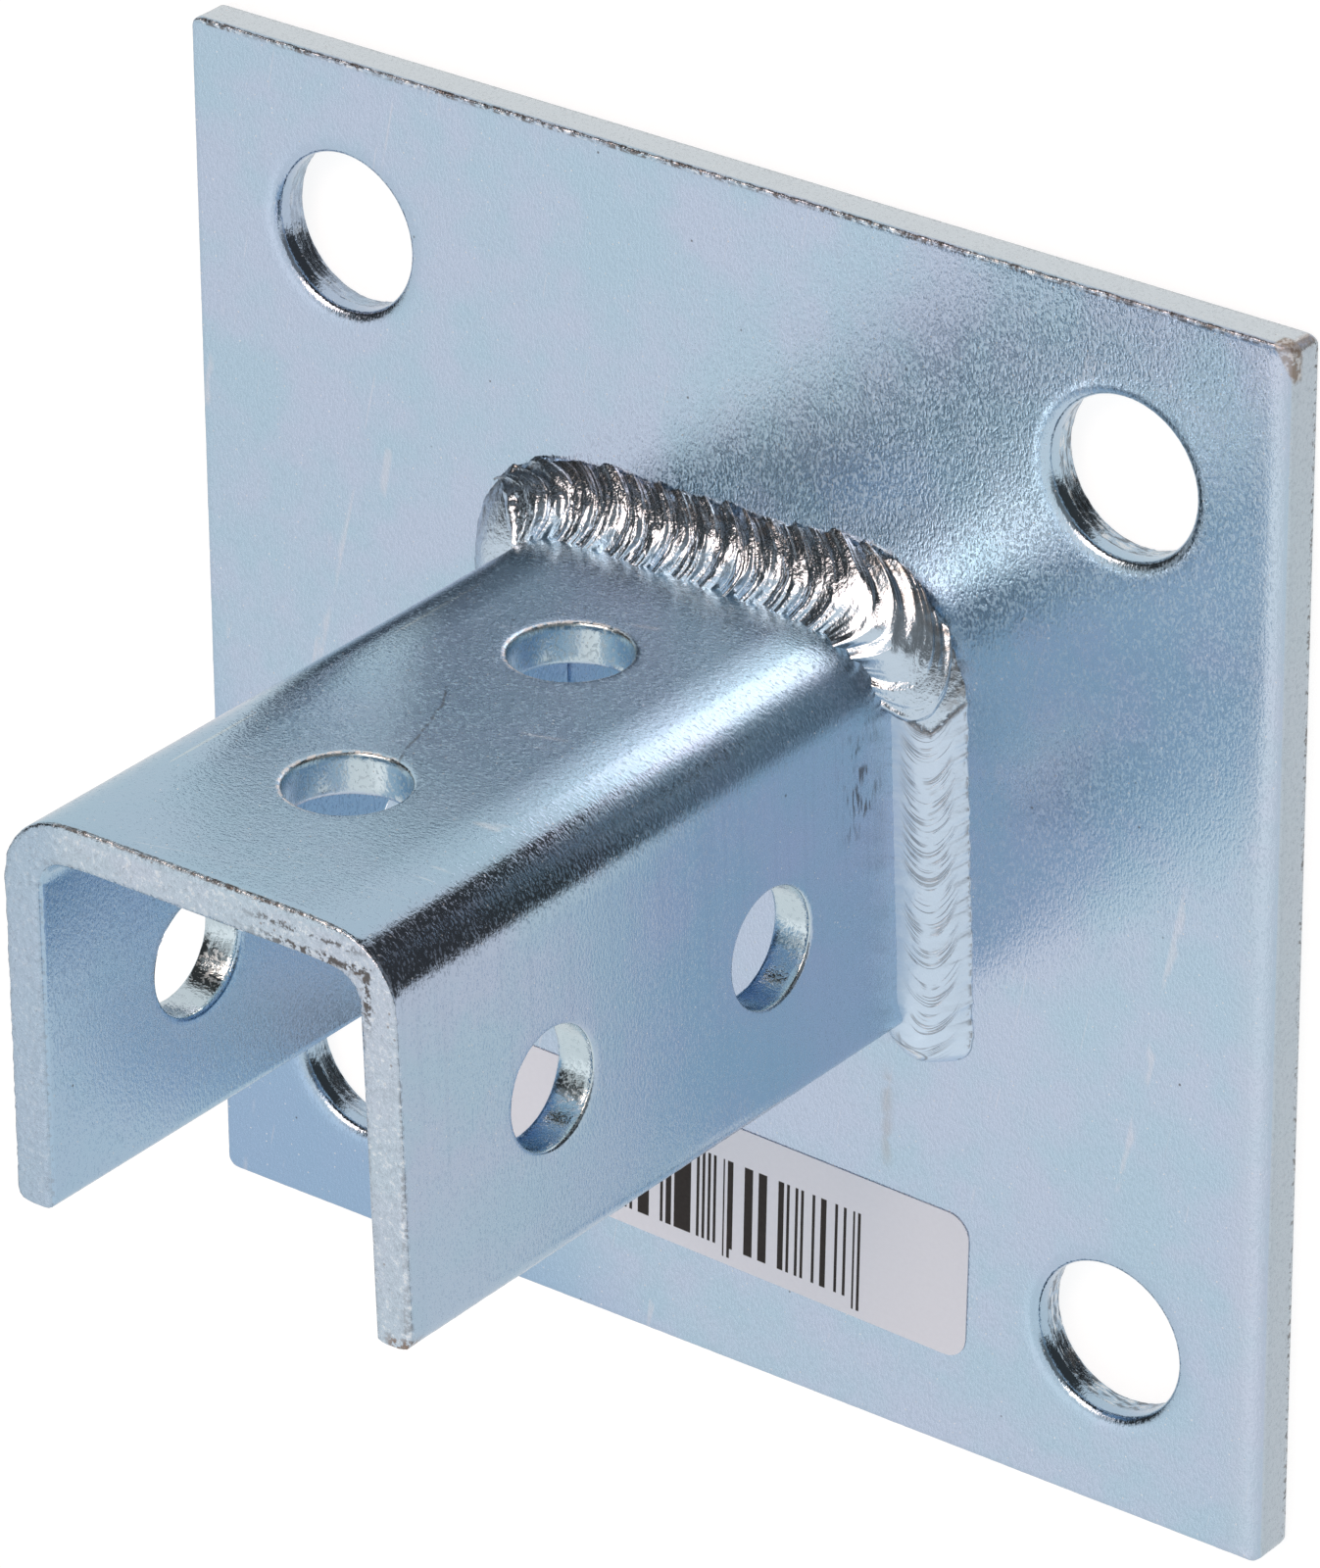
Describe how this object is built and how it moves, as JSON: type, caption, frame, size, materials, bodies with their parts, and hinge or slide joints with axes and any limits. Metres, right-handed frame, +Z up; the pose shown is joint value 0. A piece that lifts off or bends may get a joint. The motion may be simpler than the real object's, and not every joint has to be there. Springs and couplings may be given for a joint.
{
  "type": "strut post base",
  "caption": "Welded steel post base: square anchor plate with an upright U channel that takes a strut post, zinc plated.",
  "frame": {"origin": "middle of the plate's underside, on the ground", "axes": "+Z up along the channel, +Y out of the channel's web, open side of the channel towards -Y, +X to the right flange"},
  "size_m": [0.1524, 0.1524, 0.0977],
  "materials": {
    "zinc_plate": "bright zinc plated sheet",
    "zinc_channel": "bright zinc plated sheet",
    "weld_metal": "zinc plated weld ripples",
    "label_paper": "white paper with printed bars"
  },
  "bodies": {
    "root": {"base_plate": "zinc_plate", "post_channel": "zinc_channel", "weld_bead_web": "weld_metal", "weld_bead_right": "weld_metal", "weld_bead_left": "weld_metal", "paper_label": "label_paper"}
  },
  "joints": []
}
